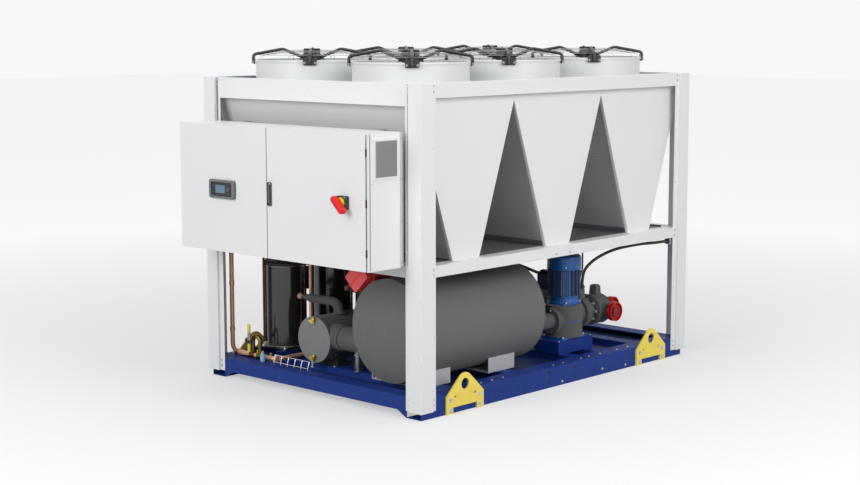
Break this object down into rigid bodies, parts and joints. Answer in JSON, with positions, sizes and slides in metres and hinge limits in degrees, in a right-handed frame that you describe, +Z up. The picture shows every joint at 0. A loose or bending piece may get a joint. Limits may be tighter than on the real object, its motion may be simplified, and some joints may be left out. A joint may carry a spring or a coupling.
{
  "type": "air-cooled water chiller",
  "caption": "Air-cooled water chiller: top fans over V-shaped coil modules, hinged electrical cabinet, and an open bay with compressors, evaporator, tank and pump.",
  "frame": {"origin": "on the ground under the middle of the overall box", "axes": "+X to the right side, +Y to the rear away from the cabinet, +Z up"},
  "size_m": [2.26, 3.58, 2.509],
  "materials": {
    "white_paint": "satin",
    "grey_paint": "satin",
    "blue_paint": "semi-gloss",
    "yellow_paint": "satin",
    "galvanised": "dull",
    "black_rod": "satin",
    "black_casting": "matt",
    "fan_grey": "matt",
    "guard_wire": "satin",
    "coil_fins": "fine ribs",
    "screen_grey": "satin",
    "black_plastic": "matt",
    "display_case": "gloss",
    "red_plastic": "gloss",
    "tank_jacket": "matt foam jacket",
    "vessel_red": "satin",
    "insulation": "matt foam",
    "compressor_black": "gloss",
    "copper": "bare copper",
    "brass": "bare",
    "drier_blue": "gloss",
    "pump_blue": "gloss",
    "steel": "plain"
  },
  "bodies": {
    "frame": {"base_side_beams": "blue_paint", "base_front_beam": "blue_paint", "base_rear_beam": "blue_paint", "base_cross_beams": "blue_paint", "base_floor": "blue_paint", "lifting_lugs": "yellow_paint", "corner_posts": "white_paint", "top_side_beams": "white_paint", "top_front_beam": "white_paint", "top_rear_beam": "white_paint", "mid_side_beams": "white_paint", "mid_front_beam": "white_paint", "mid_rear_beam": "white_paint", "side_post": "white_paint", "fan_deck": "galvanised", "fan_cowls": "white_paint", "fan_guards": "guard_wire", "fan_arms": "black_rod", "fan_motors": "black_casting", "fan_impellers": "fan_grey", "module_end_plates": "white_paint", "coil_panels": "coil_fins", "front_screen": "screen_grey", "drain_trays": "galvanised", "cabinet_body": "white_paint", "cabinet_supports": "grey_paint", "cabinet_left_panel": "white_paint", "door_hinges": "black_casting", "controller": "display_case", "vent_grille": "white_paint", "mounting_plate": "galvanised", "buffer_tank": "tank_jacket", "tank_saddles": "grey_paint", "expansion_vessel": "vessel_red", "evaporator": "insulation", "drain_valves": "brass", "evaporator_feet": "black_casting", "compressors": "compressor_black", "compressor_rails": "blue_paint", "suction_pipes": "insulation", "copper_pipes": "copper", "service_valve": "brass", "filter_drier": "drier_blue", "pump_plinth": "blue_paint", "pump_body": "insulation", "pump_motor": "pump_blue", "water_pipes": "insulation", "pipe_flanges": "steel", "valve_necks": "insulation", "pipe_caps": "red_plastic"},
    "door": {"cabinet_door": "white_paint", "door_handle_plate": "black_plastic", "isolator_base": "black_plastic"},
    "lever": {"door_lever": "black_plastic"},
    "isolator_handle": {"isolator_handle": "red_plastic"}
  },
  "joints": [
    {"name": "door_hinge", "type": "hinge", "parent": "frame", "child": "door", "pos_m": [0.962, -1.697, 1.514], "axis": [0, 0, 1], "range_deg": [0, 100]},
    {"name": "lever_pivot", "type": "hinge", "parent": "door", "child": "lever", "pos_m": [0.008, -1.712, 1.45], "axis": [1, 0, 0], "range_deg": [0, 35]},
    {"name": "isolator_turn", "type": "hinge", "parent": "door", "child": "isolator_handle", "pos_m": [0.753, -1.741, 1.507], "axis": [0, 1, 0], "range_deg": [-45, 45]}
  ]
}
